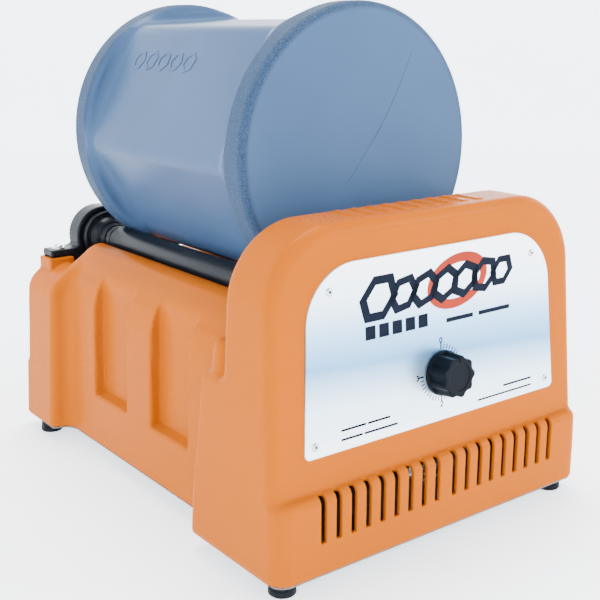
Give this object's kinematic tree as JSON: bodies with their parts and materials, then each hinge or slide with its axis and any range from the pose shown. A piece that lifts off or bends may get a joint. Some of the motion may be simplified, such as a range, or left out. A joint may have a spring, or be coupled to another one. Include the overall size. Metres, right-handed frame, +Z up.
{
  "type": "rotary tumbler",
  "caption": "Rotary tumbler: a six-sided drum with round rims turns on two belt-driven rollers above a moulded housing with a timer panel.",
  "frame": {"origin": "on the floor, under the middle of the whole machine's bounding box", "axes": "+Z up, the control panel faces -Y, +X to the right when facing the panel"},
  "size_m": [0.29, 0.4036, 0.3687],
  "materials": {
    "orange_plastic": "satin moulded plastic",
    "drum_plastic": "satin moulded polyethylene, pebbled on the rims",
    "lid_plastic": "satin",
    "panel_aluminium": "brushed, printed",
    "black_plastic": "satin",
    "roller_black": "smooth",
    "rubber": "matt",
    "plate_steel": "dark powder coat",
    "zinc_steel": "zinc plated",
    "bright_steel": "ground",
    "stack_steel": "laminated",
    "cast_alloy": "die cast",
    "copper_winding": "enamelled",
    "brass": "plain",
    "ivory_plastic": "matt",
    "fan_plastic": "satin",
    "belt_rubber": "matt",
    "lead_jacket": "satin"
  },
  "bodies": {
    "housing": {"housing": "orange_plastic", "bottom_plate": "plate_steel", "rubber_feet": "rubber", "foot_washers": "zinc_steel", "foot_screws": "zinc_steel", "plate_screws": "zinc_steel", "control_panel": "panel_aluminium", "panel_rivets": "bright_steel", "timer_body": "ivory_plastic", "timer_terminals": "brass", "timer_nut": "zinc_steel", "motor_laminations": "stack_steel", "motor_coil": "copper_winding", "motor_bearing_brackets": "cast_alloy", "motor_bolts": "zinc_steel", "motor_mount": "zinc_steel", "motor_mount_screws": "zinc_steel", "drive_belt": "belt_rubber", "front_bushes": "brass", "left_bearing_block": "black_plastic", "right_bearing_block": "black_plastic", "rear_bearings": "bright_steel", "block_screws": "zinc_steel", "block_washers": "zinc_steel", "block_base_screws": "zinc_steel", "cord_gland": "black_plastic", "gland_nut": "black_plastic", "terminal_block": "ivory_plastic", "timer_lead": "lead_jacket", "motor_lead": "lead_jacket"},
    "drum": {"drum_shell": "drum_plastic"},
    "lid": {"drum_lid": "lid_plastic", "lid_seal": "rubber", "lid_washer": "zinc_steel"},
    "lid_clamp": {"lid_clamp_plate": "cast_alloy", "lid_stud": "bright_steel"},
    "lid_knob": {"lid_knob": "black_plastic"},
    "drive_roller": {"drive_roller_shaft": "bright_steel", "drive_roller_sleeve": "roller_black", "drive_roller_flange": "black_plastic", "driven_pulley": "black_plastic", "pulley_set_screw": "zinc_steel"},
    "idler_roller": {"idler_roller_shaft": "bright_steel", "idler_roller_sleeve": "roller_black", "idler_roller_flange": "black_plastic"},
    "motor_rotor": {"rotor_core": "cast_alloy", "motor_shaft": "bright_steel", "motor_pulley": "black_plastic", "cooling_fan": "fan_plastic"},
    "timer_knob": {"timer_knob": "black_plastic", "timer_shaft": "bright_steel"}
  },
  "joints": [
    {"name": "drum_spin", "type": "hinge", "parent": "housing", "child": "drum", "pos_m": [0, 0.025, 0.26467], "axis": [0, 1, 0], "continuous": true},
    {"name": "drive_roller_spin", "type": "hinge", "parent": "housing", "child": "drive_roller", "pos_m": [0.0672, 0, 0.17], "axis": [0, 1, 0], "continuous": true},
    {"name": "idler_roller_spin", "type": "hinge", "parent": "housing", "child": "idler_roller", "pos_m": [-0.0672, 0, 0.17], "axis": [0, 1, 0], "continuous": true},
    {"name": "motor_spin", "type": "hinge", "parent": "housing", "child": "motor_rotor", "pos_m": [0.0672, -0.105, 0.058], "axis": [0, 1, 0], "continuous": true},
    {"name": "timer_turn", "type": "hinge", "parent": "housing", "child": "timer_knob", "pos_m": [0.0015, -0.18196, 0.123], "axis": [0, 0.9976, -0.0698], "range_deg": [0, 270]},
    {"name": "lid_pull", "type": "slide", "parent": "drum", "child": "lid", "axis": [0, 1, 0], "range_m": [0, 0.08]},
    {"name": "lid_knob_turn", "type": "hinge", "parent": "lid", "child": "lid_knob", "pos_m": [0, 0.17, 0.26467], "axis": [0, 1, 0], "range_deg": [0, 720]},
    {"name": "clamp_slide", "type": "slide", "parent": "lid", "child": "lid_clamp", "axis": [0, -1, 0], "range_m": [0, 0.003]}
  ],
  "couplings": [
    {"joint": "drive_roller_spin", "follows": "drum_spin", "ratio": -8.8136},
    {"joint": "idler_roller_spin", "follows": "drum_spin", "ratio": -8.8136},
    {"joint": "motor_spin", "follows": "drum_spin", "ratio": -28.599},
    {"joint": "lid_knob_turn", "follows": "clamp_slide", "rad_per_m": 4188.7}
  ]
}
